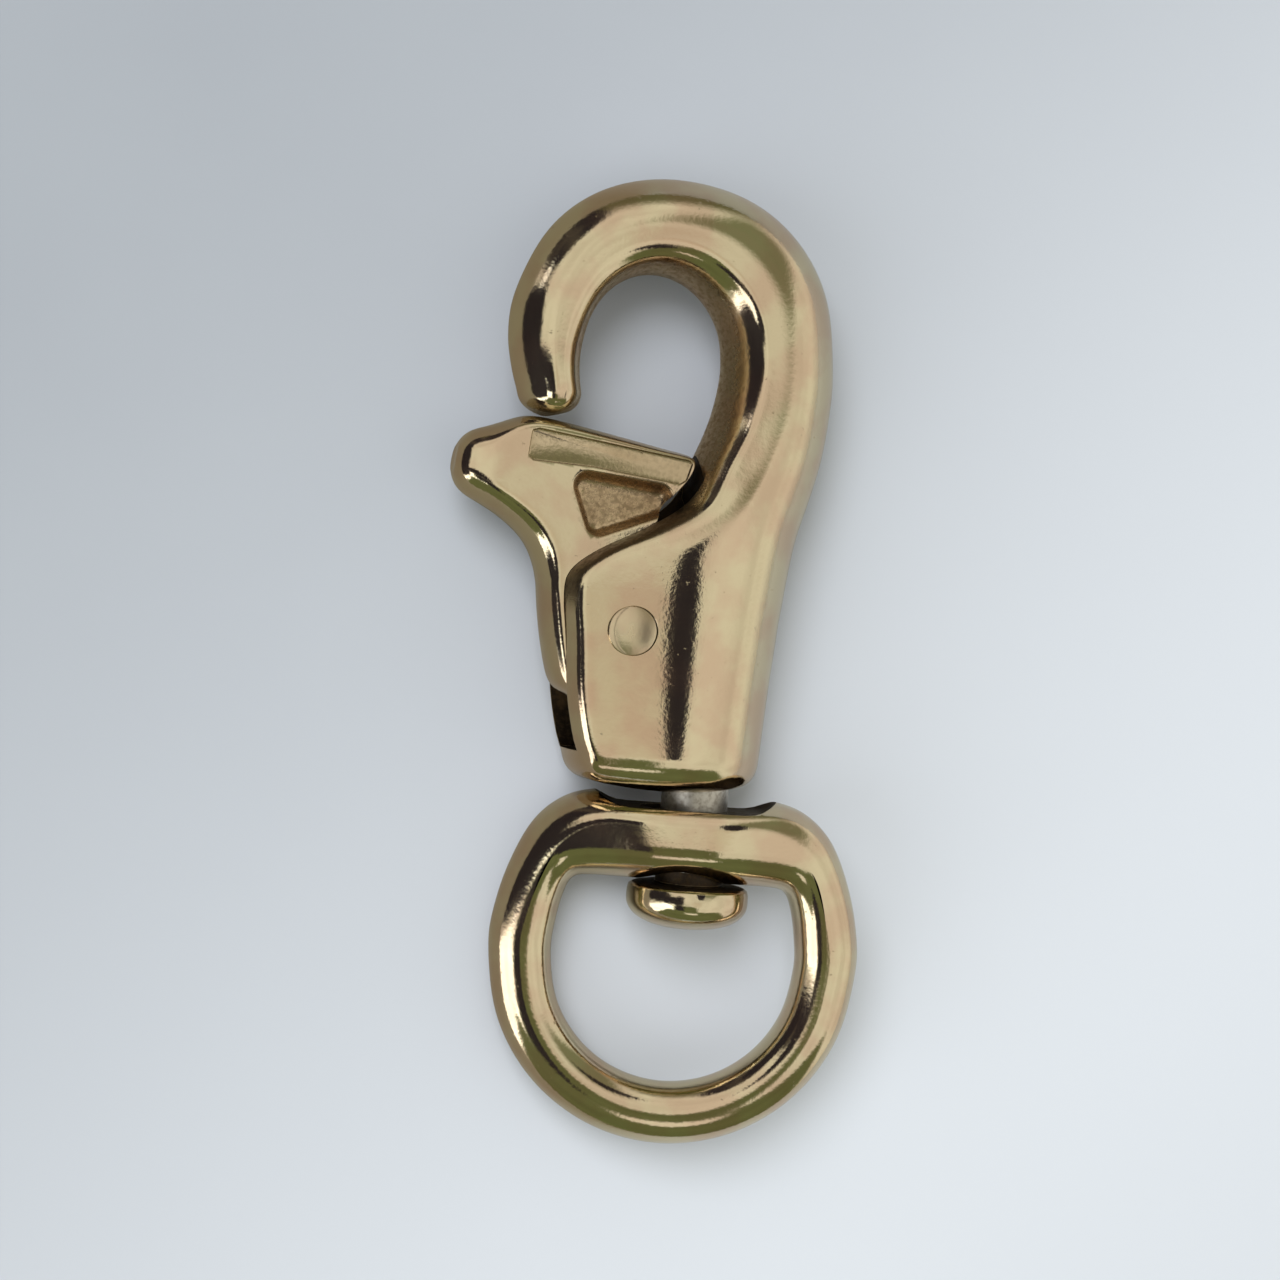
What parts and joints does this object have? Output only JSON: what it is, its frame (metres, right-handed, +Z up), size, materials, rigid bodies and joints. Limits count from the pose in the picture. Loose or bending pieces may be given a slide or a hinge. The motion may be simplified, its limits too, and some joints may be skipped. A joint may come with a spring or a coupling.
{
  "type": "trigger snap",
  "caption": "Trigger snap of cast metal: an open hook closed by a sprung thumb trigger, with a swivel eye on a headed stud.",
  "frame": {"origin": "bottom centre of the bounding box, with the snap lying flat as it comes to rest", "axes": "+Y along the swivel axis from the eye to the hook, +X from the trigger to the closed back, +Z up, out of the face that shows"},
  "size_m": [0.0468, 0.1006, 0.014],
  "materials": {
    "nickel": "polished nickel plate with a warm tone over a casting",
    "raw_steel": "bare spring wire"
  },
  "bodies": {
    "snap_body": {"body": "nickel", "pivot_pin": "nickel", "trigger_spring": "raw_steel", "swivel_stud": "nickel"},
    "trigger": {"trigger": "nickel"},
    "eye": {"swivel_eye": "nickel"}
  },
  "joints": [
    {"name": "trigger_pivot", "type": "hinge", "parent": "snap_body", "child": "trigger", "pos_m": [-0.00467, 0.003, 0.007], "axis": [0, 0, 1], "range_deg": [0, 30], "stiffness_Nm_per_rad": 0.14, "springref_deg": -11.46, "deforming": ["trigger_spring"]},
    {"name": "eye_swivel", "type": "hinge", "parent": "snap_body", "child": "eye", "pos_m": [0.00523, -0.01815, 0.007], "axis": [0, 1, 0], "continuous": true}
  ]
}
